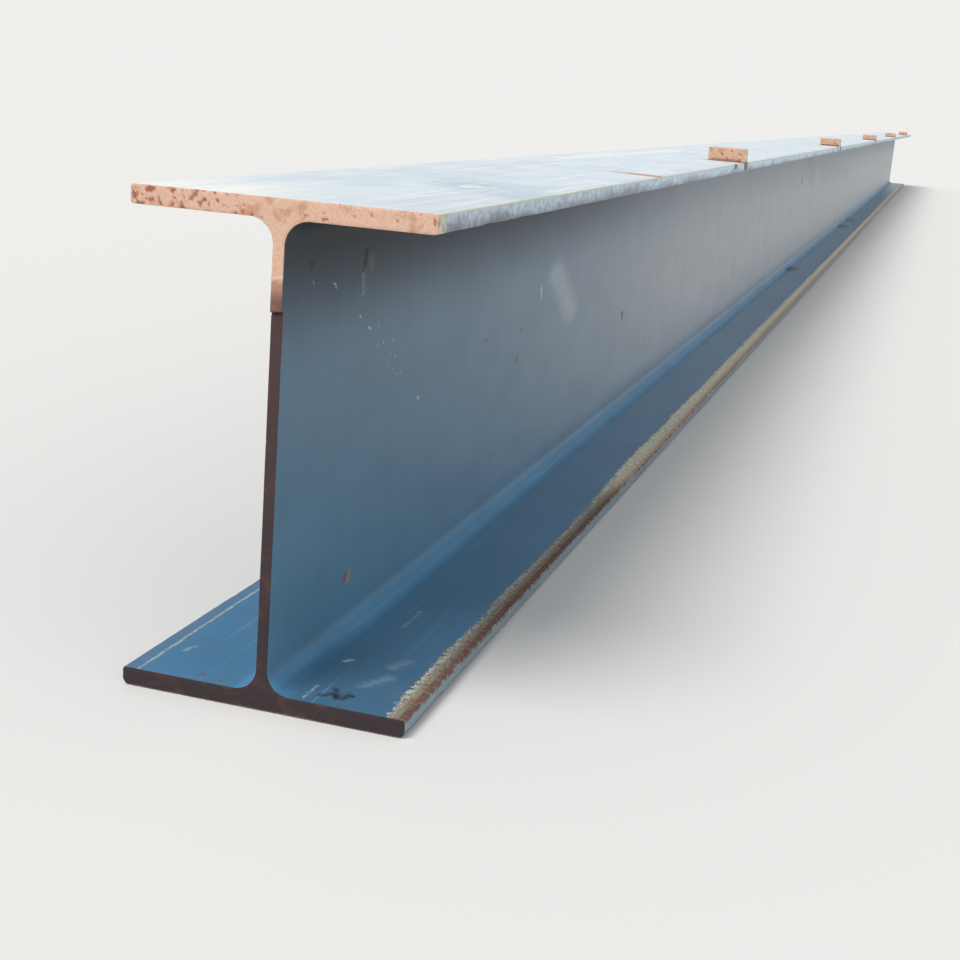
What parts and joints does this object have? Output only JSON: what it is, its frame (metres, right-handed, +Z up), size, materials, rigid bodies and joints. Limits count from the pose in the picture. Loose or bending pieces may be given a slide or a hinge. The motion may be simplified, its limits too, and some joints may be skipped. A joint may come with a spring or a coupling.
{
  "type": "steel i-beam",
  "caption": "Hot-rolled wide-flange steel beam, painted, with rusty torch-cut ends and small square steel blocks welded along one edge of its top flange.",
  "frame": {"origin": "underside of the bottom flange, at mid length and mid width", "axes": "+X across the flanges towards the edge that carries the blocks, +Y along the beam from the near end to the far end, +Z up from the bottom flange to the top flange"},
  "size_m": [0.2802, 13.716, 0.4879],
  "materials": {
    "painted_steel": "weathered blue-grey primer, rust where it is worn off",
    "rusty_steel": "saw-cut bare steel under dry orange rust"
  },
  "bodies": {
    "root": {"beam": "painted_steel", "stop_block_1": "rusty_steel", "stop_block_2": "rusty_steel", "stop_block_3": "rusty_steel", "stop_block_4": "rusty_steel", "stop_block_5": "rusty_steel"}
  },
  "joints": []
}
